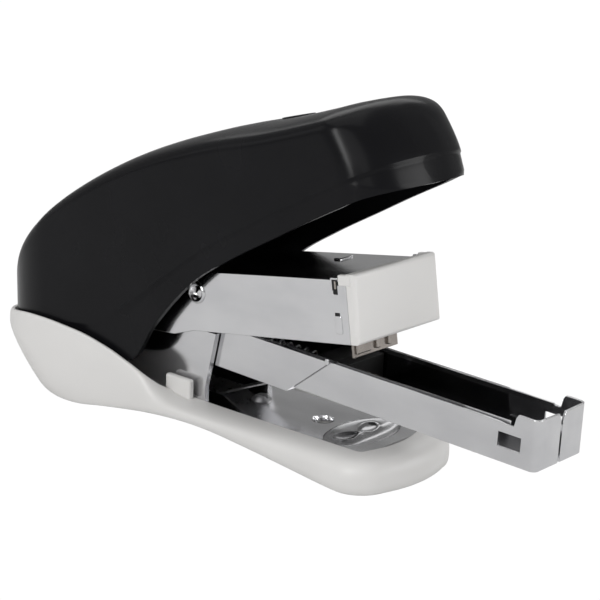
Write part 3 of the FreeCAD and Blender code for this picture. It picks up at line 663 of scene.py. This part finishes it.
# ---------------------------------------------------------------- plain nodes
SOFTENED = [
    ("base_frame", "base", "chromed_steel", CHROME, 0.00018),
    ("frame_screws", "base", "plain_steel", STEEL, 0.00012),
    ("rubber_feet", "base", "rubber", RUBBER, 0.0002),
    ("holder_spring", "base", "plain_steel", STEEL, 0.0001),
    ("magazine_holder", "holder", "chromed_steel", CHROME, 0.00018),
    ("staple_rail", "magazine", "chromed_steel", RAIL_PAINTED_DARK_REFLECTION, 0.0001),
    ("pusher", "pusher", "pusher_plastic", BLACK_PLASTIC_AND_PAINTED_SHADE, 0.0003),
    ("driver_arm", "arm", "chromed_steel", CHROME, 0.0003),
    ("nose_cap", "arm", "cover_white", WHITE, 0.0003),
    ("driver_blade", "arm", "plain_steel", BLADE_STEEL, 0.0001),
    ("driver_leaf", "arm", "plain_steel", STEEL, 0.0001),
    ("handle_lever", "handle", "inner_black", BLACK_PLASTIC_AND_PAINTED_SHADE, 0.0003),
]
CUTS = {"driver_arm": (-70, RIVET_X, 0.4), "base_frame": (-80, -70, DECK_HOLE_X, ANVIL_X),
        "magazine_holder": (-68.5,)}
for node, body, slot, material, width in SOFTENED:
    softened(node, body, material, width, CUTS.get(node, ()))
make_eyelets()
make_plug()
make_anvil()
HOLE_LIP = [(2.34, 7.06), (2.15, 7.0), (1.95, 6.6), (1.9, 5.9), (2.34, 5.9)]
lathe("deck_hole_lip", HOLE_LIP, (DECK_HOLE_X, 0, 0), (0, 0, 1), "base", CHROME)
make_magazine()
make_arm_details()
make_pusher_spring()
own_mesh(bpy.data.objects["holder_spring_skin"])
for node in ("handle_pin", "arm_pin", "holder_pin", "guide_rod", "press_roller", "handle_spring"):
    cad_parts[node].material_slots[0].material = STEEL


# ---------------------------------------------------------------- floor, light and camera
def make_floor():
    """A sweep that curves up far behind the stapler: pale paper to the light, even white to the camera."""
    half, back, radius, steps = 3.0, 2.0, 0.8, 24
    profile = [(-half, 0.0)]
    for n in range(steps + 1):
        turn = (math.pi / 2) * n / steps
        profile.append((back + radius * math.sin(turn), radius * (1 - math.cos(turn))))
    profile.append((back + radius, 3.0))
    heading = Vector((-0.661, 0.751, 0))
    across = Vector((heading.y, -heading.x, 0))
    vertices = []
    for along, up in profile:
        for side in (-half, half):
            vertices.append(heading * along + across * side + Vector((0, 0, up)))
    faces = [(2 * n, 2 * n + 1, 2 * n + 3, 2 * n + 2) for n in range(len(profile) - 1)]
    mesh = bpy.data.meshes.new("studio_floor")
    mesh.from_pydata([tuple(v) for v in vertices], [], faces)
    mesh.shade_smooth()
    floor = bpy.data.objects.new("studio_floor", mesh)
    bpy.context.scene.collection.objects.link(floor)
    material, nodes, links, shader = new_material("pale_paper")
    shader.inputs["Base Color"].default_value = (0.70, 0.70, 0.70, 1)
    shader.inputs["Roughness"].default_value = 0.95
    shader.inputs["Specular IOR Level"].default_value = 0.0
    glow = nodes.new("ShaderNodeEmission")
    glow.inputs["Strength"].default_value = 1.02
    blend = nodes.new("ShaderNodeMixShader")
    seen = nodes.new("ShaderNodeLightPath")
    links.new(seen.outputs["Is Camera Ray"], blend.inputs["Fac"])
    links.new(shader.outputs["BSDF"], blend.inputs[1])
    links.new(glow.outputs["Emission"], blend.inputs[2])
    links.new(blend.outputs["Shader"], nodes["Material Output"].inputs["Surface"])
    mesh.materials.append(material)


def area_light(name, place, target, size, power):
    data = bpy.data.lights.new(name, "AREA")
    data.shape = "RECTANGLE"
    data.size, data.size_y = size
    data.energy = power
    light = bpy.data.objects.new(name, data)
    light.location = place
    aim = Vector(target) - Vector(place)
    light.rotation_mode = "QUATERNION"
    light.rotation_quaternion = aim.to_track_quat("-Z", "Y")
    bpy.context.scene.collection.objects.link(light)


def make_lights():
    """Soft boxes overhead, in front, behind and at each side, the left one dim, and a strip for the nose."""
    target = (-0.02, 0, 0.03)
    area_light("overhead", (-0.10, -0.10, 0.85), target, (0.8, 0.8), 1.9)
    area_light("front_box", (0.45, -0.95, 0.60), target, (0.9, 0.7), 2.4)
    area_light("back_box", (-0.50, 0.55, 0.66), target, (1.0, 0.42), 2.6)
    area_light("left_box", (-0.60, -0.55, 0.40), target, (0.4, 0.5), 0.4)
    area_light("strip", (0.04, -0.75, 0.32), (0, 0, 0.05), (0.12, 0.45), 2.5)
    area_light("right_box", (0.75, 0.35, 0.24), target, (0.6, 0.4), 3.5)
    world = bpy.data.worlds.new("studio")
    bpy.context.scene.world = world
    world.use_nodes = True
    world.node_tree.nodes["Background"].inputs["Color"].default_value = (1, 1, 1, 1)
    world.node_tree.nodes["Background"].inputs["Strength"].default_value = 0.35


def make_camera():
    """A long lens 13 cm above the table, ahead of the nose and to its right, with a slight roll."""
    yaw, tilt, roll = math.radians(41.35), math.radians(16.21), math.radians(1.49)
    data = bpy.data.cameras.new("camera")
    data.lens, data.sensor_width = 106.88, 36.0
    data.clip_start = 0.01
    camera = bpy.data.objects.new("camera", data)
    level = Vector((math.cos(yaw), math.sin(yaw), 0))
    back = Vector((math.sin(yaw) * math.cos(tilt), -math.cos(yaw) * math.cos(tilt), math.sin(tilt)))
    upright = back.cross(level)
    right = level * math.cos(roll) + upright * math.sin(roll)
    up = upright * math.cos(roll) - level * math.sin(roll)
    turn = Matrix((right, up, back)).transposed()
    camera.matrix_world = Matrix.Translation(Vector((0.2087, -0.2599, 0.1314))) @ turn.to_4x4()
    bpy.context.scene.collection.objects.link(camera)
    bpy.context.scene.camera = camera


make_floor()
make_lights()
make_camera()
bpy.context.scene.view_settings.view_transform = "Standard"

bpy.context.view_layer.update()
